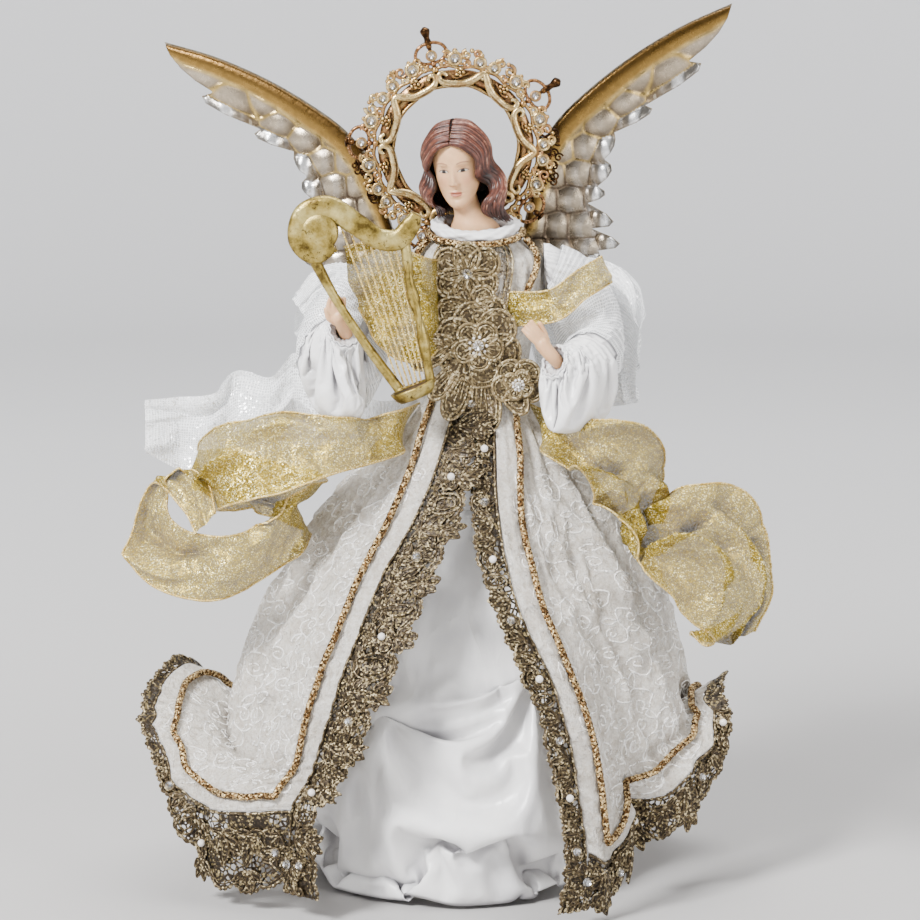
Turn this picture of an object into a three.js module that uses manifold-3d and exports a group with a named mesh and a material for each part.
// Angel tree topper: a resin doll on a card cone, dressed in a satin underskirt and an open brocade
// robe with gold lace and braid, wired organza sashes and tulle, pressed tin wings on a hinge bracket,
// a filigree halo and a harp. Millimetres, +Z up, the figure faces -Y, and the origin is on the floor
// below the middle of the part.
import * as THREE from "three";
import { mergeVertices } from "three/addons/utils/BufferGeometryUtils.js";
import Module from "manifold-3d";

const wasm = await Module();
wasm.setup();

// Driving dimensions

// Clearances
const SEAT_GAP = 0.4; // between pieces that rest on each other
const RUN_GAP = 0.35; // between a pin or wire and the hole that it turns in

// Card cone that slips over the tip of a tree
const CONE_FOOT_R = 46;
const CONE_TOP_R = 13;
const CONE_H = 206;
const CONE_WALL = 1.4;
const SPIGOT_H = 14; // how far the torso plugs the cone
const FOOT_RING_W = 13;
const FOOT_RING_T = 2;
const CONE_SIDES = 28;

// Body
const WAIST_Z = 222;
const WAIST_X = 10; // the figure leans a little to its left
const TORSO_H = 68;
const NECK_Z = WAIST_Z + TORSO_H; // top of the torso
const SHOULDER_DROP = 11; // from the top of the torso to the arm wires
const BODICE_T = 1;
const COLLAR_R = 2.6;
const COLLAR_OUT = 2; // of the collar's middle from the neck of the torso
const COLLAR_ROOM = 1.5; // more of the same at the front and back
const COLLAR_RISE = 5.2; // of the collar roll above the torso
const COLLAR_DIP = 4; // at the front
const COLLAR_FORWARD = 1.6;
const COLLAR_OPEN = 0.015; // share of each ring left open, half of it each side of the back
const NECK_CORD_OPEN = 0.2;
const TORSO_SIDES = 20;
const TORSO_ROWS = 5;
// Torso sections: share of the height, half width, half depth
const TORSO_RINGS = [
  [0, 21, 18],
  [0.3, 23, 18.5],
  [0.62, 28, 18],
  [0.86, 28, 15],
  [1, 15, 11],
];

// Underskirt
const SATIN_T = 1;
const SATIN_TOP_Z = 200;
const SATIN_HEM_Z = 1;
const SATIN_BELL_R = 60;
const SATIN_TUCK = 8; // the bubble hem turns under by this much
const SATIN_FOLD = 3.2;
const SATIN_FOLDS = 7;
const SATIN_ROUND = 1.9; // power of the bell's curve
const SATIN_TURN = 0.9; // share of the length where the hem begins to turn under

// Robe: one station of the hem every few degrees, from the left front corner round the back to the right one.
const ROBE_T = 1;
const ROBE_TOP = 0.003; // share of the length left free below the bodice
const ROBE_KNEE = 0.85; // share of the length where the flared hem begins
const ROBE_FOLD = 2.6;
const ROBE_FOLDS = 7;
const ROBE_ROUND = 1.6; // power of the curve from the waist to the knee
const ROBE_SPANS = 54;
const ROBE_UPPER_ROWS = 7;
const ROBE_LOWER_ROWS = 2;
// Angle in degrees, knee reach, knee height, hem reach, hem height, lace width
const HEM = [
  [-136, 95, 66, 100, 48, 38],
  [-147, 98, 62, 112, 45, 36],
  [-156, 98, 60, 121, 44, 34],
  [-161, 98, 60, 127, 48, 9],
  [-169, 100, 62, 135, 65, 7],
  [-180, 100, 66, 132, 82, 6],
  [-194, 98, 70, 122, 88, 7],
  [-222, 96, 56, 108, 38, 12],
  [-246, 87, 46, 92, 26, 10],
  [-270, 81, 42, 86, 20, 10],
  [-294, 87, 46, 92, 27, 10],
  [-318, 96, 58, 108, 40, 12],
  [-347, 98, 74, 113, 82, 8],
  [-364, 98, 74, 113, 76, 10],
  [-378, 94, 68, 106, 58, 17],
  [-392, 84, 62, 90, 46, 20],
  [-409, 95, 52, 100, 28, 20],
  [-415.5, 96, 56, 100, 32, 26],
];
// Angles of the two front edges from the waist to the hem
const LEFT_EDGE = [-113, -114, -123, -127, -130, -136];
const RIGHT_EDGE = [-430, -436, -433, -423, -418, -415.5];

// Trim
const CORD_R = 1.7;
const CORD_INSET = 10; // from the robe's front edge to the cord
const CORD_FROM = 0.04; // share of the robe's length where the front cords begin
const CORD_TO = 0.9; // and where they end
const HEM_CORD_INSET = 8; // from the hem to the cord
const HEM_CORD_LIFT = 0.6; // over the folds of the flare
const HEM_CORD_OPEN = 0.045; // share of the way round left free at each front corner
const LACE_T = 0.8;
const LACE_GAP = 0.8; // between the robe's edge and the lace that carries it on
const LEFT_LACE_W = [8, 13, 24, 25, 18, 15, 18];
const RIGHT_LACE_W = [7, 10, 12, 13, 12, 12, 14];
const LACE_STIFF_W = 8; // lace up to this width goes on in the robe's own direction
const LACE_LIMP_W = 22; // and from this width it hangs straight down
const LACE_SCALLOPS = 9;
const LACE_FROM = 0.03; // share of the robe's length where the front lace begins
const HEM_LACE_OPEN = 0.002; // share of the way round left free at each front corner
// Cords on the bodice: turn round the torso, share of its height
const BODICE_CORDS = {
  left: [
    [0.58, 0.8],
    [0.6, 0.62],
    [0.64, 0.3],
  ],
  right: [
    [0.93, 0.8],
    [0.92, 0.73],
    [0.905, 0.66],
  ],
};

// Sashes and tulle, wired ribbons
const RIBBON_T = 0.8;

// Arms
const WIRE_R = 1.2;
const WIRE_SEAT = 12; // how far an arm wire reaches into the torso
const SLEEVE_T = 1;
const SLEEVE_GAP = 0.7; // between a sleeve's head and the bodice, so that the arm can turn
const PLEATS = 7;
const PLEAT_DEPTH = 0.07; // share of a sleeve's radius
const PALM_R = 3.1;
const FINGER_R = 1.25;
const THUMB_R = 1.5;
const WRIST_BORE = 9; // length of the hole in a hand for the arm wire

// Head
const HEAD_AT = [2.5, -3.5, NECK_Z + 32];
const HEAD_R = [11, 13, 17];
const HEAD_TILT = 8;
const HEAD_BOW = 10;
const NECK_R = 6.2;
const PLATE_R = 9.6; // shoulder plate of the head casting
const PLATE_H = 3;

// Halo
const HALO_AT = [1.3, 18, NECK_Z + 37.5];
const HALO_INNER_R = 27;
const HALO_OUTER_R = 41;
const HALO_T = 2.4;
const HALO_POINTS = 5;
const HALO_TURN = 33; // degrees of the first crest
const HALO_STONE_OUT = 1; // from the outer radius
// Half of the outline between two crests: share of the way to the next crest, step from the outer radius
const HALO_EDGE = [
  [0, 12],
  [0.022, 9.5],
  [0.014, 6],
  [0.06, 5.5],
  [0.088, 2],
  [0.085, -1.5],
  [0.15, 0],
  [0.22, 0],
  [0.27, -2.5],
  [0.33, 0],
  [0.42, 0],
  [0.46, -2],
  [0.5, -1],
];
// Openwork of one fifth: share of the way, then shares of the band's width for the place and the radius
const HALO_HOLES = [
  [0, 0.57, 0.2],
  [0.19, 0.64, 0.214],
  [0.39, 0.64, 0.214],
  [0.61, 0.64, 0.214],
  [0.81, 0.64, 0.214],
];
const STONE_R = 1.9;
const STEM_R = 1.2;

// Wings and the bracket that they hinge on
const WING_T = 1.2;
const WING_LIFT = 17; // from the hinge's middle to the level that the feathers are set out from
const HINGE_X = 14; // each side of the bracket's middle
const HINGE_Z = NECK_Z - 22;
const EYE_H = 20;
const EYE_WALL = 0.95;
const PIN_R = 1;
const BRACKET_X = 2.7;
const BRACKET_W = 36;
const BRACKET_T = 1.5;
const LUG_T = 2;
const LUG_W = 6;
const PIN_HEAD_R = 2;
const HEAD_H = 1.2; // height of the heads of pins and screws
const SCREW_R = 1.2;
const SCREW_HEAD_R = 2.28;
const SCREW_X = 8.2; // each side of the bracket's middle
const SCREW_DROP = 6; // below the bracket's middle
const BOSS = [6.4, 4.6, 9]; // block on the bracket for the halo's stem
const TAB_W = 18; // of each wing, from its eye to its plate
const RIGHT_SWEEP = 8;
const LEFT_SWEEP = 16;
const LEFT_DROOP = 9; // degrees that the left wing is set lower than the right

// Harp
const HARP_Y = -48;
const HARP_POST_R = 2.1;
const HARP_NECK_R = 3.6;
const STRING_R = 0.45;
const STRINGS = 7;
const SCROLL_R = 7.2;
const SCROLL_W = 6;
const HARP_FOOT_R = 10;
const HARP_FOOT_H = 5;
const HARP_FOOT_TILT = 22;

// Flowers
const FLOWER_R = 19;
const SMALL_FLOWER_R = 10;
const PETAL_T = 1.6;
const CRYSTAL_R = 2.4;
const APPLIQUE_T = 1.2;
const FLOWER_STUB = 2.4; // room behind the waist flower for the end of the sash

// Colour, roughness and metalness of each material
const LOOKS = {
  card: [0x9b8568, 0.9, 0],
  foam: [0xe9e6df, 0.9, 0],
  satin: [0xf2f0ec, 0.35, 0],
  brocade: [0xe9e5dc, 0.6, 0],
  lace: [0x8f7a49, 0.55, 0.4],
  braid: [0xa87b47, 0.4, 0.6],
  organza: [0xc9ab5c, 0.5, 0.3],
  tulle: [0xe6e7ea, 0.6, 0],
  skin: [0xd9b48c, 0.45, 0],
  gilt: [0xb29343, 0.4, 0.7],
  halo: [0xc9a266, 0.3, 0.9],
  tin: [0x9a9080, 0.35, 0.9],
  steel: [0xa8a8a8, 0.35, 0.9],
  crystal: [0xe8ecf2, 0.05, 0],
};
const topper = new THREE.Group();
topper.name = "angel_tree_topper";

// Geometry helpers

const vec = (x, y, z) => new THREE.Vector3(x, y, z);
const rad = THREE.MathUtils.degToRad;
const mix = THREE.MathUtils.lerp;
const clamp = THREE.MathUtils.clamp;

function add(name, geometry, look, parent = topper) {
  const [color, roughness, metalness] = LOOKS[look];
  const mesh = new THREE.Mesh(geometry, new THREE.MeshStandardMaterial({ color, roughness, metalness }));
  mesh.name = name;
  parent.add(mesh);
}

function solidOf(geometry) {
  const bare = geometry.clone();
  bare.deleteAttribute("normal");
  bare.deleteAttribute("uv");
  const merged = mergeVertices(bare, 1e-4);
  const mesh = new wasm.Mesh({
    numProp: 3,
    vertProperties: merged.attributes.position.array,
    triVerts: new Uint32Array(merged.index.array),
  });
  return new wasm.Manifold(mesh);
}

function geometryOf(solid) {
  const mesh = solid.getMesh();
  const points = new THREE.BufferAttribute(new Float32Array(mesh.vertProperties), 3);
  const faces = new THREE.BufferAttribute(new Uint32Array(mesh.triVerts), 1);
  return new THREE.BufferGeometry().setAttribute("position", points).setIndex(faces);
}

function union(...parts) {
  return geometryOf(parts.map(solidOf).reduce((a, b) => a.add(b)));
}

function cut(body, ...tools) {
  return geometryOf(tools.map(solidOf).reduce((a, b) => a.subtract(b), solidOf(body)));
}

// A smooth curve through the rows of a table, as a function of 0 to 1.
function through(values) {
  const curve = new THREE.CatmullRomCurve3(values.map((v, i) => vec(v, i, 0)));
  return (t) => curve.getPoint(clamp(t, 0, 1)).x;
}

function pathThrough(points) {
  const stations = points.map((p) => (p.isVector3 ? p : vec(...p)));
  return new THREE.CatmullRomCurve3(stations, false, "centripetal");
}

function tube(points, radius, steps, sides = 6) {
  const section = new THREE.Shape().absarc(0, 0, radius, 0, 2 * Math.PI);
  return new THREE.ExtrudeGeometry(section, {
    steps,
    curveSegments: sides / 2,
    extrudePath: pathThrough(points),
    bevelEnabled: false,
  });
}

function ball(at, radii, detail = 12) {
  const shape = new THREE.SphereGeometry(1, detail, Math.ceil(detail * 0.6));
  return shape.scale(...radii).translate(...at);
}

function capsule(from, to, radius, sides = 8) {
  const a = vec(...from);
  const b = vec(...to);
  const shape = new THREE.CapsuleGeometry(radius, a.distanceTo(b), 2, sides);
  const along = b.clone().sub(a).normalize();
  shape.applyQuaternion(new THREE.Quaternion().setFromUnitVectors(vec(0, 1, 0), along));
  return shape.translate(...a.add(b).multiplyScalar(0.5).toArray());
}

function cylinder(radius, height, at, axis = "z", sides = 16) {
  const shape = new THREE.CylinderGeometry(radius, radius, height, sides);
  if (axis === "z") shape.rotateX(Math.PI / 2);
  if (axis === "x") shape.rotateZ(Math.PI / 2);
  return shape.translate(...at);
}

function box(size, at) {
  return new THREE.BoxGeometry(...size).translate(...at);
}

// A grid of points, from a function of two numbers from 0 to 1.
function gridOf(point, across, along) {
  const rows = [];
  for (let i = 0; i <= across; i++) {
    const row = [];
    for (let j = 0; j <= along; j++) row.push(point(i / across, j / along));
    rows.push(row);
  }
  return rows;
}

// The points of a grid moved along the surface's normals; closed joins the first row to the last.
function offset(rows, distance, closed) {
  const n = rows.length;
  const m = rows[0].length;
  const at = (i, j) => (closed ? rows[(i + n) % n] : rows[clamp(i, 0, n - 1)])[clamp(j, 0, m - 1)];
  return rows.map((row, i) =>
    row.map((p, j) => {
      const across = at(i + 1, j).clone().sub(at(i - 1, j));
      const along = at(i, j + 1).clone().sub(at(i, j - 1));
      return p.clone().addScaledVector(across.cross(along).normalize(), distance);
    }),
  );
}

// A sheet of even thickness on a grid of points, from a height above them.
// Closed joins the last row to the first.
function sheet(grid, thickness, closed = false, from = -thickness / 2) {
  const rows = closed ? grid.slice(0, -1) : grid;
  const n = rows.length;
  const m = rows[0].length;
  const points = [...offset(rows, from + thickness, closed).flat(), ...offset(rows, from, closed).flat()];
  const faces = [];
  const id = (i, j, side) => side * n * m + (closed ? i % n : i) * m + j;
  const quad = (a, b, c, d) => faces.push(a, b, c, a, c, d);
  const spans = closed ? n : n - 1;
  for (let i = 0; i < spans; i++) {
    for (let j = 0; j < m - 1; j++) {
      quad(id(i, j, 0), id(i + 1, j, 0), id(i + 1, j + 1, 0), id(i, j + 1, 0));
      quad(id(i, j, 1), id(i, j + 1, 1), id(i + 1, j + 1, 1), id(i + 1, j, 1));
    }
    quad(id(i, 0, 1), id(i + 1, 0, 1), id(i + 1, 0, 0), id(i, 0, 0));
    quad(id(i, m - 1, 0), id(i + 1, m - 1, 0), id(i + 1, m - 1, 1), id(i, m - 1, 1));
  }
  if (!closed) {
    for (let j = 0; j < m - 1; j++) {
      quad(id(0, j, 0), id(0, j + 1, 0), id(0, j + 1, 1), id(0, j, 1));
      quad(id(n - 1, j, 1), id(n - 1, j + 1, 1), id(n - 1, j + 1, 0), id(n - 1, j, 0));
    }
  }
  return new THREE.BufferGeometry().setFromPoints(points).setIndex(faces);
}

// Body

const axisX = (z) => (WAIST_X * Math.min(z, WAIST_Z)) / WAIST_Z;

const torsoWidth = through(TORSO_RINGS.map((r) => r[1]));
const torsoDepth = through(TORSO_RINGS.map((r) => r[2]));
const torsoShare = through(TORSO_RINGS.map((r) => r[0]));

function torsoPoint(turn, t) {
  const angle = 2 * Math.PI * turn;
  const z = WAIST_Z + TORSO_H * torsoShare(t);
  return vec(WAIST_X + torsoWidth(t) * Math.cos(angle), torsoDepth(t) * Math.sin(angle), z);
}

// A point at a height above the torso's surface
function onTorso(turn, t, height) {
  const d = 0.01;
  const across = torsoPoint(turn + d, t).sub(torsoPoint(turn - d, t));
  const along = torsoPoint(turn, t + d).sub(torsoPoint(turn, t - d));
  return torsoPoint(turn, t).addScaledVector(across.cross(along).normalize(), height);
}

const shoulderZ = NECK_Z - SHOULDER_DROP;
const bodiceOut = SEAT_GAP + BODICE_T;
const chestX = (side) => WAIST_X + side * (Math.max(...TORSO_RINGS.map((r) => r[1])) + bodiceOut);

function loftSolid(point, around, along) {
  const profile = gridOf(point, around, along).slice(0, -1);
  const m = along + 1;
  const points = profile.flat();
  const low = points.push(centreOf(profile.map((row) => row[0]))) - 1;
  const high = points.push(centreOf(profile.map((row) => row[along]))) - 1;
  const faces = [];
  for (let i = 0; i < around; i++) {
    const a = i * m;
    const b = ((i + 1) % around) * m;
    for (let j = 0; j < along; j++) faces.push(a + j, b + j, b + j + 1, a + j, b + j + 1, a + j + 1);
    faces.push(low, b, a, high, a + along, b + along);
  }
  return new THREE.BufferGeometry().setFromPoints(points).setIndex(faces);
}

function centreOf(points) {
  return points.reduce((a, p) => a.add(p), vec(0, 0, 0)).divideScalar(points.length);
}

function makeBody() {
  // The card cone leans with the figure; its rim stays flat on the floor.
  const lean = new THREE.Matrix4().makeShear(0, 0, 0, 0, WAIST_X / WAIST_Z, 0);
  const cone = [
    [CONE_FOOT_R - CONE_WALL, 0],
    [CONE_FOOT_R, 0],
    [CONE_TOP_R, CONE_H],
    [CONE_TOP_R - CONE_WALL, CONE_H],
    [CONE_FOOT_R - CONE_WALL, 0],
  ].map((p) => new THREE.Vector2(...p));
  const lathe = (profile) => {
    return new THREE.LatheGeometry(profile, CONE_SIDES).rotateX(Math.PI / 2).applyMatrix4(lean);
  };
  add("support_cone", lathe(cone), "card");

  const slope = (CONE_FOOT_R - CONE_TOP_R) / CONE_H;
  const outer = CONE_FOOT_R - CONE_WALL - SEAT_GAP;
  const ring = [
    [outer - FOOT_RING_W, 0],
    [outer, 0],
    [outer - slope * FOOT_RING_T, FOOT_RING_T],
    [outer - FOOT_RING_W, FOOT_RING_T],
    [outer - FOOT_RING_W, 0],
  ].map((p) => new THREE.Vector2(...p));
  add("foot_ring", lathe(ring), "card");

  // The foam torso has a spigot that plugs the top of the cone, and a hole each side for an arm wire.
  const torso = loftSolid(torsoPoint, TORSO_SIDES, TORSO_ROWS);
  const spigotLow = CONE_H - SPIGOT_H;
  const spigotR = CONE_TOP_R - CONE_WALL - SEAT_GAP;
  const spigotH = WAIST_Z - spigotLow + 1;
  const spigotMid = spigotLow + spigotH / 2;
  const spigot = cylinder(spigotR, spigotH, [axisX(spigotMid), 0, spigotMid], "z", TORSO_SIDES);
  const bores = [-1, 1].map((side) => {
    const length = 2 * (WIRE_SEAT + SEAT_GAP);
    return cylinder(WIRE_R + RUN_GAP, length, [chestX(side), 0, shoulderZ], "x", 12);
  });
  add("torso_core", cut(union(torso, spigot), ...bores), "foam");
  const bodice = sheet(gridOf(torsoPoint, TORSO_SIDES, TORSO_ROWS), BODICE_T, true, SEAT_GAP);
  add("robe_bodice", cut(bodice, ...bores), "brocade");
}

// Skirts

const coneR = (z) => mix(CONE_FOOT_R, CONE_TOP_R, z / CONE_H);
const satinTopR = coneR(SATIN_TOP_Z) + SEAT_GAP + SATIN_T / 2;

function satinFold(angle) {
  const wide = Math.sin(SATIN_FOLDS * angle + 0.6);
  const fine = Math.sin((SATIN_FOLDS + 5) * angle + 2.1);
  return 0.65 * wide + 0.35 * fine;
}

function satinPoint(turn, v) {
  const angle = 2 * Math.PI * turn;
  const bell = 1 - (1 - v) ** SATIN_ROUND;
  const under = clamp((v - SATIN_TURN) / (1 - SATIN_TURN), 0, 1);
  const fold = SATIN_FOLD * satinFold(angle) * v ** 0.6 * (1 - 0.55 * under);
  const radius = mix(satinTopR, SATIN_BELL_R, bell) - SATIN_TUCK * under ** 2 + fold;
  const z = mix(SATIN_TOP_Z, SATIN_HEM_Z, v);
  return vec(axisX(z) + radius * Math.cos(angle), radius * Math.sin(angle), z);
}

const hemAngles = HEM.map((row) => row[0]);

// The hem's five sizes at a share of the way round, by a smooth curve through the stations.
function hemAt(s) {
  const angle = mix(hemAngles[0], hemAngles.at(-1), clamp(s, 0, 1));
  let i = hemAngles.findIndex((a) => a <= angle);
  i = clamp(i, 1, HEM.length - 1);
  const t = (angle - hemAngles[i - 1]) / (hemAngles[i] - hemAngles[i - 1]);
  const near = [i - 2, i - 1, i, i + 1].map((k) => HEM[clamp(k, 0, HEM.length - 1)]);
  const value = (c) => {
    const [p0, p1, p2, p3] = near.map((row) => row[c]);
    const m1 = (p2 - p0) / 2;
    const m2 = (p3 - p1) / 2;
    const t2 = t * t;
    const t3 = t2 * t;
    return (2 * t3 - 3 * t2 + 1) * p1 + (t3 - 2 * t2 + t) * m1 + (3 * t2 - 2 * t3) * p2 + (t3 - t2) * m2;
  };
  return { kneeR: value(1), kneeZ: value(2), hemR: value(3), hemZ: value(4), lace: value(5) };
}

const leftEdge = through(LEFT_EDGE);
const rightEdge = through(RIGHT_EDGE);
const waistOut = bodiceOut + ROBE_T / 2;

function robeFold(s) {
  const wide = Math.sin(2 * Math.PI * ROBE_FOLDS * s + 0.6);
  const fine = Math.sin(2 * Math.PI * (ROBE_FOLDS + 6) * s + 2);
  return 0.6 * wide + 0.4 * fine;
}

// The hem's flare at a share of the way round: its length, and the direction of the lace past it
function flareAt(hem) {
  const out = hem.hemR - hem.kneeR;
  const up = hem.hemZ - hem.kneeZ;
  const length = Math.hypot(out, up);
  const hang = clamp((hem.lace - LACE_STIFF_W) / (LACE_LIMP_W - LACE_STIFF_W), 0, 1);
  const lace = new THREE.Vector2(mix(out / length, 0, hang), mix(up / length, -1, hang)).normalize();
  return { length, lace };
}

// A point of the robe: s runs from the left front edge round the back to the right one, and v from the
// waist to the hem, or further for lace. A step beyond an edge, in millimetres, carries the surface on
// towards the opening.
function robePoint(s, v, beyond = 0) {
  const hem = hemAt(s);
  const flare = flareAt(hem);
  const t = clamp(v, 0, 1);
  let angle = rad(mix(leftEdge(t), rightEdge(t), s));
  const wide = Math.cos(angle) / (torsoWidth(0) + waistOut);
  const deep = Math.sin(angle) / (torsoDepth(0) + waistOut);
  const waist = 1 / Math.hypot(wide, deep);
  const upper = Math.min(t / ROBE_KNEE, 1);
  const lower = Math.max((t - ROBE_KNEE) / (1 - ROBE_KNEE), 0);
  const past = (Math.max(v - 1, 0) / (1 - ROBE_KNEE)) * flare.length;
  const edge = Math.min(1, 12 * s, 12 * (1 - s));
  const fold = ROBE_FOLD * robeFold(s) * edge * t;
  const dome = 1 - (1 - upper) ** ROBE_ROUND;
  const radius = mix(waist, hem.kneeR, dome) + (hem.hemR - hem.kneeR) * lower + fold + past * flare.lace.x;
  const z = mix(WAIST_Z, hem.kneeZ, upper) + (hem.hemZ - hem.kneeZ) * lower + past * flare.lace.y;
  angle += beyond / radius;
  return vec(axisX(z) + radius * Math.cos(angle), radius * Math.sin(angle), z);
}

function robeNormal(s, v, beyond = 0) {
  const d = 0.004;
  const across = robePoint(s + d, v, beyond).sub(robePoint(s - d, v, beyond));
  const along = robePoint(s, v + d, beyond).sub(robePoint(s, v - d, beyond));
  return along.cross(across).normalize().negate();
}

function onRobe(s, v, height, beyond = 0) {
  return robePoint(s, v, beyond).addScaledVector(robeNormal(s, v, beyond), height);
}

function makeSkirts() {
  add("underskirt", sheet(gridOf(satinPoint, 38, 8), SATIN_T, true), "satin");
  const rows = ROBE_UPPER_ROWS + ROBE_LOWER_ROWS;
  const row = (t) => {
    const j = t * rows;
    if (j <= ROBE_UPPER_ROWS) return mix(ROBE_TOP, ROBE_KNEE, j / ROBE_UPPER_ROWS);
    return mix(ROBE_KNEE, 1, (j - ROBE_UPPER_ROWS) / ROBE_LOWER_ROWS);
  };
  const robe = gridOf((s, t) => robePoint(s, row(t)), ROBE_SPANS, rows);
  add("robe_skirt", sheet(robe, ROBE_T), "brocade");
}

// Trim on the robe

function frontLace(side, widths) {
  const s = side < 0 ? 0 : 1;
  const width = through(widths);
  const hem = hemAt(s);
  const past = 1 + ((0.96 * hem.lace) / flareAt(hem).length) * (1 - ROBE_KNEE);
  return gridOf((along, across) => {
    const v = mix(LACE_FROM, past, along);
    const scallop = 0.82 + 0.18 * Math.abs(Math.sin(Math.PI * LACE_SCALLOPS * along));
    const reach = LACE_GAP + across * width(along) * scallop;
    return robePoint(s, v, -side * reach);
  }, 30, 2);
}

function hemLace() {
  return gridOf((across, along) => {
    const s = mix(HEM_LACE_OPEN, 1 - HEM_LACE_OPEN, across);
    const hem = hemAt(s);
    const slope = flareAt(hem).length / (1 - ROBE_KNEE);
    const scallop = 0.85 + 0.15 * Math.abs(Math.sin(Math.PI * 4 * LACE_SCALLOPS * s));
    return robePoint(s, 1 + mix(LACE_GAP, hem.lace * scallop, along) / slope);
  }, 64, 1);
}

// The share of the way round that lies one cord inset in from a front edge
function insetShare(side, v) {
  const p = robePoint(side < 0 ? 0 : 1, v);
  const span = rad(leftEdge(v) - rightEdge(v)) * Math.hypot(p.x - axisX(p.z), p.y);
  return side < 0 ? CORD_INSET / span : 1 - CORD_INSET / span;
}

function makeTrim() {
  const lift = ROBE_T / 2 + SEAT_GAP + CORD_R;
  const inset = (side, v) => onRobe(insetShare(side, v), v, lift);
  const along = (count, point) => Array.from({ length: count + 1 }, (_, i) => point(i / count));
  for (const [name, side] of [["left", -1], ["right", 1]]) {
    const points = along(12, (t) => inset(side, mix(CORD_FROM, CORD_TO, t)));
    add(`${name}_front_cord`, tube(points, CORD_R, 22), "braid");
    const lace = frontLace(side, side < 0 ? LEFT_LACE_W : RIGHT_LACE_W);
    add(`${name}_front_lace`, sheet(side < 0 ? lace.reverse() : lace, LACE_T), "lace");
  }
  const round = (t) => {
    const s = mix(HEM_CORD_OPEN, 1 - HEM_CORD_OPEN, t);
    const share = HEM_CORD_INSET / flareAt(hemAt(s)).length;
    return onRobe(s, 1 - share * (1 - ROBE_KNEE), lift + HEM_CORD_LIFT);
  };
  add("hem_cord", tube(along(50, round), CORD_R, 52), "braid");
  add("hem_lace", sheet(hemLace(), LACE_T), "lace");
  const rise = bodiceOut + 2 * SEAT_GAP + CORD_R;
  for (const [name, stations] of Object.entries(BODICE_CORDS)) {
    const points = stations.map(([turn, t]) => onTorso(turn, t, rise));
    add(`${name}_bodice_cord`, tube(points, CORD_R, 8), "braid");
  }
}

// Sashes and tulle: wired ribbons, each drawn between its two edges.

function ribbon(edges, steps, across = 2) {
  const a = pathThrough(edges.map((e) => e.slice(0, 3)));
  const b = pathThrough(edges.map((e) => e.slice(3, 6)));
  return sheet(gridOf((u, v) => a.getPoint(u).lerp(b.getPoint(u), v), steps, across), RIBBON_T);
}

// Each station: one edge's x, y, z and the other edge's.
const LEFT_SASH = [
  [-24, -33, 217, -25, -38, 199],
  [-48, -42, 215, -50, -54, 193],
  [-76, -38, 218, -70, -58, 186],
  [-101, -24, 208, -92, -50, 178],
  [-113, -4, 196, -104, -28, 172],
  [-100, 12, 190, -92, 2, 166],
  [-76, 10, 186, -74, -4, 162],
  [-60, -16, 186, -66, -28, 158],
  [-62, -44, 182, -80, -44, 145],
  [-84, -56, 168, -104, -52, 136],
  [-112, -50, 166, -132, -44, 142],
  [-126, -34, 174, -141, -30, 158],
  [-118, -30, 192, -132, -28, 184],
];
const RIGHT_SASH = [
  [46, -32, 214, 42, -36, 198],
  [66, -36, 212, 58, -50, 190],
  [86, -26, 202, 68, -54, 180],
  [94, -18, 186, 76, -54, 166],
  [88, -22, 172, 80, -56, 154],
  [104, -30, 182, 86, -60, 148],
  [126, -28, 182, 96, -62, 140],
  [139, -24, 160, 104, -58, 128],
  [141, -26, 138, 112, -50, 120],
  [132, -34, 119, 106, -44, 114],
];
const SHOULDER_SASH = [
  [66, -17, 283, 71, -17.5, 272],
  [54, -24, 277.5, 58.5, -25.5, 266],
  [41.5, -24.5, 269, 45.5, -26, 256],
];
const TULLE_LEFT_LOW = [
  [-36, 18, 214, -36, 14, 198],
  [-58, 22, 228, -56, 14, 194],
  [-72, 26, 234, -72, 18, 192],
  [-82, 20, 224, -84, 14, 190],
  [-98, 26, 226, -96, 19, 186],
  [-108, 22, 216, -112, 16, 182],
  [-124, 26, 214, -124, 20, 182],
  [-139, 24, 213, -139, 20, 190],
];
const TULLE_LEFT_UP = [
  [-34, 14, 274, -34, 10, 252],
  [-52, 16, 276, -50, 12, 250],
  [-64, 12, 272, -60, 10, 246],
  [-71, 6, 264, -68, 4, 240],
];
const TULLE_RIGHT = [
  [44, 18, 272, 42, 15, 220],
  [58, 20, 278, 54, 16, 214],
  [70, 16, 276, 68, 12, 212],
  [79, 9, 268, 78, 6, 214],
  [82, -2, 256, 80, -2, 218],
];

// Each ribbon starts with an end sewn to the robe at the waist or to the bodice.
function makeRibbons() {
  const rest = SEAT_GAP + RIBBON_T / 2;
  const onWaist = (s, ...ends) => ends.flatMap((v) => onRobe(s, v, ROBE_T / 2 + rest).toArray());
  const onChest = (turn, ...ends) => ends.flatMap((t) => onTorso(turn, t, bodiceOut + rest).toArray());
  add("left_sash", ribbon([onWaist(0.13, 0.03, 0.1), ...LEFT_SASH], 40), "organza");
  add("right_sash", ribbon([onWaist(0.87, 0.03, 0.1), ...RIGHT_SASH], 32), "organza");
  add("shoulder_sash", ribbon([onChest(0.83, 0.54, 0.36), ...SHOULDER_SASH.toReversed()], 12), "organza");
  add("left_tulle_low", ribbon([onWaist(0.31, 0.03, 0.12), ...TULLE_LEFT_LOW], 22), "tulle");
  add("left_tulle_high", ribbon([onChest(0.4, 0.7, 0.45), ...TULLE_LEFT_UP], 10), "tulle");
  add("right_tulle", ribbon([onChest(0.1, 0.6, 0.36), ...TULLE_RIGHT], 14), "tulle");
}

// Arms: each ring of a sleeve has a centre, an axis and two radii.

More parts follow.
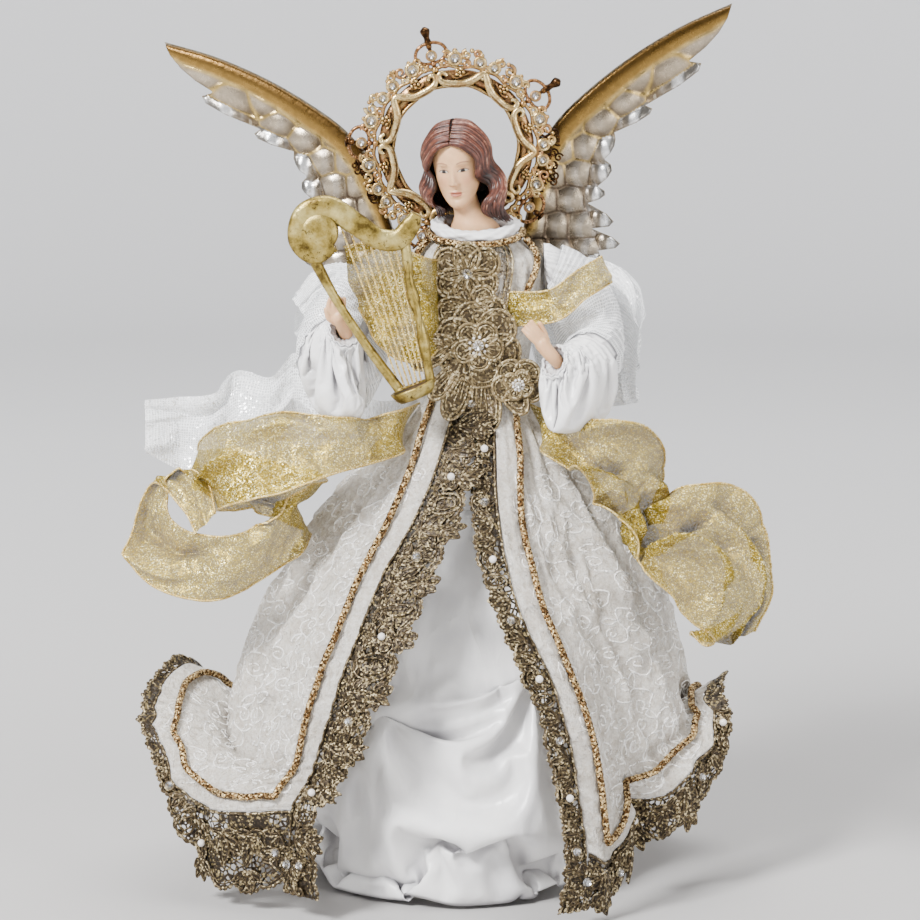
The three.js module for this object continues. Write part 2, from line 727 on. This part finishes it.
const SLEEVE_RINGS = {
  left: [
    [chestX(-1) - SLEEVE_GAP, 0, shoulderZ, -1, 0, 0, 8, 8],
    [-33, -4, 270, -0.8, -0.2, -0.55, 10, 11],
    [-45, -11, 259, -0.6, -0.5, -0.6, 13, 13],
    [-53, -20, 247, -0.1, -0.9, -0.35, 15, 18],
    [-50, -30, 245, 0.3, -0.9, 0.2, 13, 17],
    [-47, -37, 253, 0.3, -0.8, 0.5, 6.5, 7],
  ],
  right: [
    [chestX(1) + SLEEVE_GAP, 0, shoulderZ, 1, 0, 0, 8, 8],
    [53, -2, 269, 0.8, -0.2, -0.55, 10, 11],
    [62, -4, 256, 0.5, -0.5, -0.7, 10, 11],
    [61, -17, 240, -0.2, -0.9, -0.35, 13, 14],
    [52, -31, 234, -0.6, -0.8, 0.1, 12, 14],
    [44, -38, 240, -0.7, -0.6, 0.35, 6.5, 6.5],
  ],
};
function sleeve(rings) {
  const centres = pathThrough(rings.map((r) => r.slice(0, 3)));
  const axes = pathThrough(rings.map((r) => r.slice(3, 6)));
  const wide = through(rings.map((r) => r[6]));
  const tall = through(rings.map((r) => r[7]));
  return gridOf((turn, t) => {
    const axis = axes.getPoint(t).normalize();
    const side = vec(0, 0, 1).cross(axis).normalize();
    const up = axis.clone().cross(side);
    const angle = 2 * Math.PI * turn;
    const pleat = 1 + PLEAT_DEPTH * Math.sin(PLEATS * angle) * Math.sin(Math.PI * t);
    const p = centres.getPoint(t);
    p.addScaledVector(side, wide(t) * pleat * Math.cos(angle));
    return p.addScaledVector(up, tall(t) * pleat * Math.sin(angle));
  }, 16, 7);
}

function makeArms() {
  for (const [name, side] of [["left", -1], ["right", 1]]) {
    const rings = SLEEVE_RINGS[name];
    add(`${name}_sleeve`, sheet(sleeve(rings), SLEEVE_T, true), "satin");
    const root = chestX(side);
    const route = rings.slice(1, -1).map((r) => r.slice(0, 3));
    const start = [-WIRE_SEAT, 0, 2.5].map((reach) => [root + side * reach, 0, shoulderZ]);
    const wrist = rings.at(-1).slice(0, 3);
    add(`${name}_arm_wire`, tube([...start, ...route, wrist], WIRE_R, 18), "steel");
  }
  makeHands();
}

// Hands are small resin mittens with parted fingers; the wrist stub is bored for the arm wire.
function hand(wrist, knuckles, tips, thumb) {
  const palm = capsule(wrist, knuckles, PALM_R, 8);
  const spread = vec(...tips[1]).sub(vec(...tips[0]));
  const fingers = [0, 1, 2, 3].map((i) => {
    const tip = vec(...tips[0]).addScaledVector(spread, i / 3);
    const root = vec(...knuckles).addScaledVector(spread, (i / 3 - 0.5) * 0.8);
    return capsule(root.toArray(), tip.toArray(), FINGER_R, 5);
  });
  return union(palm, ...fingers, capsule(wrist, thumb, THUMB_R, 5));
}

function makeHands() {
  const leftWrist = SLEEVE_RINGS.left.at(-1).slice(0, 3);
  const rightWrist = SLEEVE_RINGS.right.at(-1).slice(0, 3);
  const bore = (wrist, rings) => {
    const before = vec(...rings.at(-2).slice(0, 3));
    const end = vec(...wrist);
    const back = end.clone().addScaledVector(before.sub(end).normalize(), WRIST_BORE);
    return capsule(back.toArray(), end.toArray(), WIRE_R + SEAT_GAP, 8);
  };
  const gripY = HARP_Y + HARP_POST_R + FINGER_R + SEAT_GAP;
  const leftTips = [[-53, gripY, 268], [-47.5, gripY, 269]];
  const left = hand(leftWrist, [-49.5, gripY + 1.6, 261], leftTips, [-53, gripY + 2, 261]);
  add("left_hand", cut(left, bore(leftWrist, SLEEVE_RINGS.left)), "skin");
  const rightTips = [[31, -39, 254], [34, -41, 258]];
  const right = hand(rightWrist, [37.5, -39.5, 249], rightTips, [38, -37, 256]);
  add("right_hand", cut(right, bore(rightWrist, SLEEVE_RINGS.right)), "skin");
}

// Head: one resin casting of the face, neck, shoulder plate and hair.

// Balls of hair beside the face: x, y, z from the head's middle, radius
const LEFT_LOCK = [
  [-13, -1, -2, 4.8],
  [-14.2, -2, -10, 4.6],
  [-13.2, -5, -17, 4.4],
];
const RIGHT_LOCK = [
  [13.4, -1, -2, 5.2],
  [15.8, -2, -9, 5.6],
  [18, -4, -15, 5.4],
  [19.2, -6, -20.5, 4.2],
];

function makeHead() {
  const [rx, ry, rz] = HEAD_R;
  const lock = (rows) => rows.map(([x, y, z, r]) => ball([x, y, z], [r, r, r * 1.25], 8));
  const skull = ball([0, 0, 0], HEAD_R, 12);
  const jaw = ball([0, -ry * 0.3, -rz * 0.52], [rx * 0.66, ry * 0.6, rz * 0.5], 10);
  const nose = ball([0, -ry * 1.0, -rz * 0.2], [1.5, 2, 3], 8);
  const cap = ball([0, 2.2, 3], [rx + 4, ry + 0.6, rz + 1.6], 12);
  const head = union(skull, jaw, nose, cap, ...lock(LEFT_LOCK), ...lock(RIGHT_LOCK));
  head.rotateX(rad(HEAD_BOW)).rotateY(rad(-HEAD_TILT)).translate(...HEAD_AT);

  const torsoTop = NECK_Z + SEAT_GAP;
  const foot = [WAIST_X - 1, -1, torsoTop + 1.2];
  const neck = capsule(foot, [HEAD_AT[0] + 1, HEAD_AT[1] - 1, HEAD_AT[2] - rz * 0.75], NECK_R, 10);
  const plate = new THREE.CylinderGeometry(PLATE_R - 0.6, PLATE_R, PLATE_H, 20).rotateX(Math.PI / 2);
  plate.translate(WAIST_X, 0, torsoTop + PLATE_H / 2);
  const below = box([80, 80, 20], [WAIST_X, 0, torsoTop - 10]);
  add("head_casting", cut(union(head, neck, plate), below), "skin");
}

// The collar roll and the cord below it are rings round the neck, dipped at the front and open at the back.
function makeCollar() {
  const [, neckWide, neckDeep] = TORSO_RINGS.at(-1);
  const ring = (radius, out, z, open) => {
    const points = [];
    for (let i = 0; i <= 20; i++) {
      const a = Math.PI / 2 + 2 * Math.PI * mix(open, 1 - open, i / 20);
      const dip = COLLAR_DIP * Math.max(0, -Math.sin(a));
      const y = (neckDeep + COLLAR_ROOM + out) * Math.sin(a) - COLLAR_FORWARD;
      points.push(vec(WAIST_X + (neckWide + out) * Math.cos(a), y, z - dip));
    }
    return tube(points, radius, 24);
  };
  const collarZ = NECK_Z + COLLAR_RISE;
  const step = COLLAR_R + SEAT_GAP + CORD_R;
  add("collar", ring(COLLAR_R, COLLAR_OUT, collarZ, COLLAR_OPEN), "satin");
  const cord = ring(CORD_R, COLLAR_OUT + step * 0.8, collarZ - step * 0.6, NECK_CORD_OPEN);
  add("neck_cord", cord, "braid");
}

// Ornaments on the front of the bodice

// A flat rosette in the XZ plane, its front at -Y
function rosette(count, radius, thickness, turn) {
  const shape = new THREE.Shape();
  const points = 6 * count;
  for (let i = 0; i < points; i++) {
    const a = (2 * Math.PI * i) / points;
    const r = radius * (0.7 + 0.3 * Math.sqrt(Math.abs(Math.cos((count * a) / 2))));
    shape[i ? "lineTo" : "moveTo"](r * Math.cos(a + turn), r * Math.sin(a + turn));
  }
  const flat = new THREE.ExtrudeGeometry(shape, { depth: thickness, bevelEnabled: false });
  return flat.rotateX(Math.PI / 2);
}

// A bloom of two layers; a stub behind it reaches to what it is sewn on.
function flower(radius, stub) {
  const low = rosette(6, radius, PETAL_T, 0.3);
  const high = rosette(5, radius * 0.64, PETAL_T, 0.1).translate(0, -PETAL_T * 0.7, 0);
  const heart = cylinder(radius * 0.26, PETAL_T, [0, -PETAL_T * 1.9, 0], "y", 10);
  const stalk = cylinder(radius * 0.2, stub + 1, [0, (stub - 1) / 2, 0], "y", 10);
  return union(low, high, heart, stalk);
}

function stone(radius) {
  const profile = [
    [0, 0],
    [radius, radius * 0.35],
    [radius * 0.6, radius * 0.8],
    [0, radius * 0.8],
  ].map((p) => new THREE.Vector2(...p));
  return new THREE.LatheGeometry(profile, 8);
}

const chestFront = -(Math.max(...TORSO_RINGS.map((r) => r[2])) + bodiceOut);
const BROOCH_AT = [11, chestFront - SEAT_GAP - FLOWER_STUB, WAIST_Z + 23];
const BLOOM_AT = [28.5, BROOCH_AT[1] - PETAL_T - SEAT_GAP, WAIST_Z + 6];
const APPLIQUE_AT = [6, chestFront, NECK_Z - 18];
const CRYSTAL_UP = 5; // of the chest crystal from the middle of the applique

function makeOrnaments() {
  const applique = new THREE.Shape();
  applique.moveTo(-15, 13).quadraticCurveTo(0, 10, 15, 13).quadraticCurveTo(19, 4, 13, -8);
  applique.quadraticCurveTo(6, -13, 0, -12).quadraticCurveTo(-7, -13, -11, -8);
  applique.quadraticCurveTo(-18, 3, -15, 13);
  const settings = { depth: APPLIQUE_T, bevelEnabled: false, curveSegments: 6 };
  const plate = new THREE.ExtrudeGeometry(applique, settings);
  add("chest_applique", plate.rotateX(Math.PI / 2).translate(...APPLIQUE_AT), "lace");
  add("waist_flower", flower(FLOWER_R, FLOWER_STUB).translate(...BROOCH_AT), "lace");
  add("side_flower", flower(SMALL_FLOWER_R, 0).translate(...BLOOM_AT), "lace");
  const crystal = ([x, y, z], deep) => {
    return stone(CRYSTAL_R).rotateX(Math.PI).translate(x, y - deep - SEAT_GAP, z);
  };
  const [x, y, z] = APPLIQUE_AT;
  add("waist_crystal", crystal(BROOCH_AT, PETAL_T * 2.4), "crystal");
  add("chest_crystal", crystal([x, y, z + CRYSTAL_UP], APPLIQUE_T), "crystal");
}

// Halo: a flat openwork casting with pointed crests, on a wire stem.

function makeHalo() {
  const [hx, hy, hz] = HALO_AT;
  const module = (2 * Math.PI) / HALO_POINTS;
  const polar = (r, a) => [r * Math.cos(a), r * Math.sin(a)];
  const outline = [];
  const holes = [];
  const stones = [];
  for (let i = 0; i < HALO_POINTS; i++) {
    const a = rad(HALO_TURN) + i * module;
    const mirrored = HALO_EDGE.slice(1, -1).map(([t, out]) => [1 - t, out]);
    for (const [t, out] of [...HALO_EDGE, ...mirrored.reverse()]) {
      outline.push(new THREE.Vector2(...polar(HALO_OUTER_R + out, a + t * module)));
    }
    for (const [t, place, size] of HALO_HOLES) {
      const at = polar(mix(HALO_INNER_R, HALO_OUTER_R, place), a + t * module);
      const radius = size * (HALO_OUTER_R - HALO_INNER_R);
      holes.push(new THREE.Path().absarc(...at, radius, 0, 2 * Math.PI, true));
    }
    stones.push(polar(HALO_OUTER_R + HALO_STONE_OUT, a));
  }
  const middle = new THREE.Path();
  const sides = 36;
  for (let i = 0; i < sides; i++) {
    middle[i ? "lineTo" : "moveTo"](...polar(HALO_INNER_R, (-2 * Math.PI * i) / sides));
  }
  const edge = new THREE.Shape(outline);
  edge.holes.push(middle, ...holes);
  const ring = new THREE.ExtrudeGeometry(edge, { depth: HALO_T, bevelEnabled: false, curveSegments: 3 });
  ring.rotateX(Math.PI / 2).translate(0, HALO_T / 2, 0);
  add("halo", ring.translate(hx, hy, hz), "halo");
  stones.forEach(([x, z], i) => {
    const at = [hx + x, hy - HALO_T / 2 - SEAT_GAP, hz + z];
    add(`halo_stone_${i + 1}`, stone(STONE_R).rotateX(Math.PI).translate(...at), "crystal");
  });
}

// Wings: pressed tin, each with a rolled eye on a pin of the bracket.

// Feather tips of the right wing from the longest to the innermost, and the notch after each,
// as the distance out from the hinge and the height.
const FEATHERS = [
  [109, 105, 89.5, 79.5],
  [95, 75, 70, 60],
  [73, 56, 56, 48],
  [57, 42, 51.5, 36],
  [56, 31, 48.5, 24],
  [53, 20, 44, 16.5],
  [57, 8, 46, 5],
  [60, -2, 49, -5],
  [50, -9, 40, -8],
];
// The wing's root from the lowest point up, and its leading edge
const ROOT = [
  [15, -25],
  [15, 6],
  [22, 42],
];
const LEADING = [
  [34, 58],
  [58, 78],
  [84, 94],
];

function wingOutline(side, droop) {
  const turn = ([x, y]) => {
    const a = rad(-droop);
    return [side * (x * Math.cos(a) - y * Math.sin(a)), x * Math.sin(a) + y * Math.cos(a) + WING_LIFT];
  };
  const shape = new THREE.Shape();
  shape.setFromPoints(ROOT.map((p) => new THREE.Vector2(...turn(p))));
  shape.splineThru([...LEADING, FEATHERS[0]].map((p) => new THREE.Vector2(...turn(p))));
  FEATHERS.forEach(([tx, ty, nx, ny], i) => {
    let bend = [tx - 2, ty - 13];
    if (i) {
      const [fx, fy] = FEATHERS[i - 1].slice(2);
      bend = [2 * tx - (fx + nx) / 2 - 2, 2 * ty - (fy + ny) / 2];
    }
    shape.quadraticCurveTo(...turn(bend), ...turn([nx, ny]));
  });
  shape.closePath();
  return shape;
}

const eyeR = PIN_R + RUN_GAP;

function wing(side, droop) {
  const plate = new THREE.ExtrudeGeometry(wingOutline(side, droop), {
    depth: WING_T,
    bevelEnabled: false,
    curveSegments: 4,
  });
  plate.rotateX(Math.PI / 2).translate(0, WING_T / 2, 0);
  const tab = box([TAB_W, WING_T, EYE_H * 0.8], [side * (TAB_W / 2 + eyeR + 0.3), 0, 2]);
  const eye = cylinder(eyeR + EYE_WALL, EYE_H, [0, 0, 0], "z", 16);
  const hole = cylinder(eyeR, EYE_H + 2, [0, 0, 0], "z", 16);
  return cut(union(plate, tab, eye), hole);
}

function makeWings() {
  const lugZ = EYE_H / 2 + SEAT_GAP + LUG_T / 2;
  const plateY = torsoDepth(0.5) + SEAT_GAP + bodiceOut + BRACKET_T / 2;
  const plateBack = plateY + BRACKET_T / 2;
  const hingeY = plateBack + SEAT_GAP + eyeR + EYE_WALL;
  const plateH = EYE_H + 2 * (SEAT_GAP + LUG_T);
  const parts = [box([BRACKET_W, BRACKET_T, plateH], [BRACKET_X, plateY, HINGE_Z])];
  const holes = [];
  const reach = hingeY + eyeR + EYE_WALL - plateY;
  for (const side of [-1, 1]) {
    const x = BRACKET_X + side * HINGE_X;
    const screwX = BRACKET_X + side * SCREW_X;
    const screwZ = HINGE_Z - SCREW_DROP;
    for (const end of [-1, 1]) {
      parts.push(box([LUG_W, reach, LUG_T], [x, plateY + reach / 2, HINGE_Z + end * lugZ]));
    }
    holes.push(cylinder(PIN_R + SEAT_GAP / 2, plateH + 8, [x, hingeY, HINGE_Z], "z", 12));
    holes.push(cylinder(SCREW_R + SEAT_GAP, 12, [screwX, plateY, screwZ], "y", 12));
    const name = side < 0 ? "left" : "right";
    const group = new THREE.Group();
    group.position.set(x, hingeY, HINGE_Z);
    group.rotation.z = side < 0 ? -rad(LEFT_SWEEP) : rad(RIGHT_SWEEP);
    topper.add(group);
    add(`${name}_wing`, wing(side, side < 0 ? LEFT_DROOP : 0), "tin", group);
    const pin = cylinder(PIN_R, plateH + 3, [x, hingeY, HINGE_Z], "z", 12);
    const above = SEAT_GAP + HEAD_H / 2;
    const pinHead = cylinder(PIN_HEAD_R, HEAD_H, [x, hingeY, HINGE_Z + plateH / 2 + above], "z", 12);
    add(`${name}_wing_pin`, union(pin, pinHead), "steel");
    const screwHead = cylinder(SCREW_HEAD_R, HEAD_H, [screwX, plateBack + above, screwZ], "y", 12);
    const shank = cylinder(SCREW_R, 2, [screwX, plateBack - 0.2, screwZ], "y", 12);
    add(`${name}_bracket_screw`, union(screwHead, shank), "steel");
  }
  // A boss on the bracket holds the wire stem of the halo.
  const stemY = plateBack + SEAT_GAP + STEM_R;
  const [stemX, haloY, haloZ] = HALO_AT;
  const stemTop = haloZ - HALO_OUTER_R - SEAT_GAP;
  const plateTop = HINGE_Z + plateH / 2;
  const boss = box(BOSS, [stemX, plateBack + 2.2, HINGE_Z - 1]);
  holes.push(cylinder(STEM_R + SEAT_GAP, plateH + 20, [stemX, stemY, HINGE_Z], "z", 12));
  add("wing_bracket", cut(union(...parts, boss), ...holes), "steel");
  const stem = [
    [stemX, haloY, stemTop],
    [stemX, haloY + 0.3, stemTop - 1.6],
    [stemX, mix(haloY, stemY, 0.5), plateTop + 2.6],
    [stemX, stemY, plateTop],
    [stemX, stemY, plateTop - 4],
    [stemX, stemY, HINGE_Z - 8],
  ];
  add("halo_stem", tube(stem, STEM_R, 10), "steel");
}

// Harp

const HARP_NECK = [
  [-50, 291],
  [-61, 287],
  [-66, 295],
  [-62, 306],
  [-52, 308],
  [-42, 301],
  [-32, 294],
  [-23, 294],
  [-16, 303],
];
const HARP_SCROLL = [-58, 297];
const HARP_FOOT = [-16.5, 228];
const HARP_LEFT_POST = [[-59, 285], [-50, 268], [-37, 248], [-23, 229]];
const HARP_RIGHT_POST = [[-21, 293], [-18, 274], [-13.5, 255], [-9.5, 232]];
// Lines along the neck and the foot that the strings are spread over
const STRING_TOPS = [[-53, 304], [-22, 295]];
const STRING_FEET = [[-24, 228], [-10, 234]];

function harpFrame(grow) {
  const bar = (points, radius, steps) => {
    return tube(points.map(([x, z]) => [x, HARP_Y, z]), radius + grow, steps, 8);
  };
  const [scrollX, scrollZ] = HARP_SCROLL;
  const scroll = cylinder(SCROLL_R + grow, SCROLL_W + 2 * grow, [scrollX, HARP_Y, scrollZ], "y", 16);
  const top = HARP_FOOT_R + grow;
  const foot = new THREE.CylinderGeometry(top, top - 2, HARP_FOOT_H + 2 * grow, 18).rotateX(Math.PI / 2);
  foot.rotateY(rad(-HARP_FOOT_TILT)).translate(HARP_FOOT[0], HARP_Y, HARP_FOOT[1]);
  return union(
    bar(HARP_NECK, HARP_NECK_R, 20),
    bar(HARP_LEFT_POST, HARP_POST_R, 8),
    bar(HARP_RIGHT_POST, HARP_POST_R, 8),
    scroll,
    foot,
  );
}

function makeHarp() {
  add("harp_frame", harpFrame(0), "gilt");
  const clear = solidOf(harpFrame(SEAT_GAP));
  const spread = ([a, b], t) => vec(mix(a[0], b[0], t), HARP_Y, mix(a[1], b[1], t));
  for (let i = 0; i < STRINGS; i++) {
    const t = (i + 1) / (STRINGS + 1);
    const top = spread(STRING_TOPS, t);
    const foot = spread(STRING_FEET, t);
    const raw = solidOf(tube([top, centreOf([top, foot]), foot], STRING_R, 2));
    const pieces = raw.subtract(clear).decompose().sort((a, b) => b.volume() - a.volume());
    add(`harp_string_${i + 1}`, geometryOf(pieces[0]), "gilt");
  }
}

makeBody();
makeSkirts();
makeTrim();
makeRibbons();
makeArms();
makeHead();
makeCollar();
makeOrnaments();
makeHalo();
makeWings();
makeHarp();

export default topper;
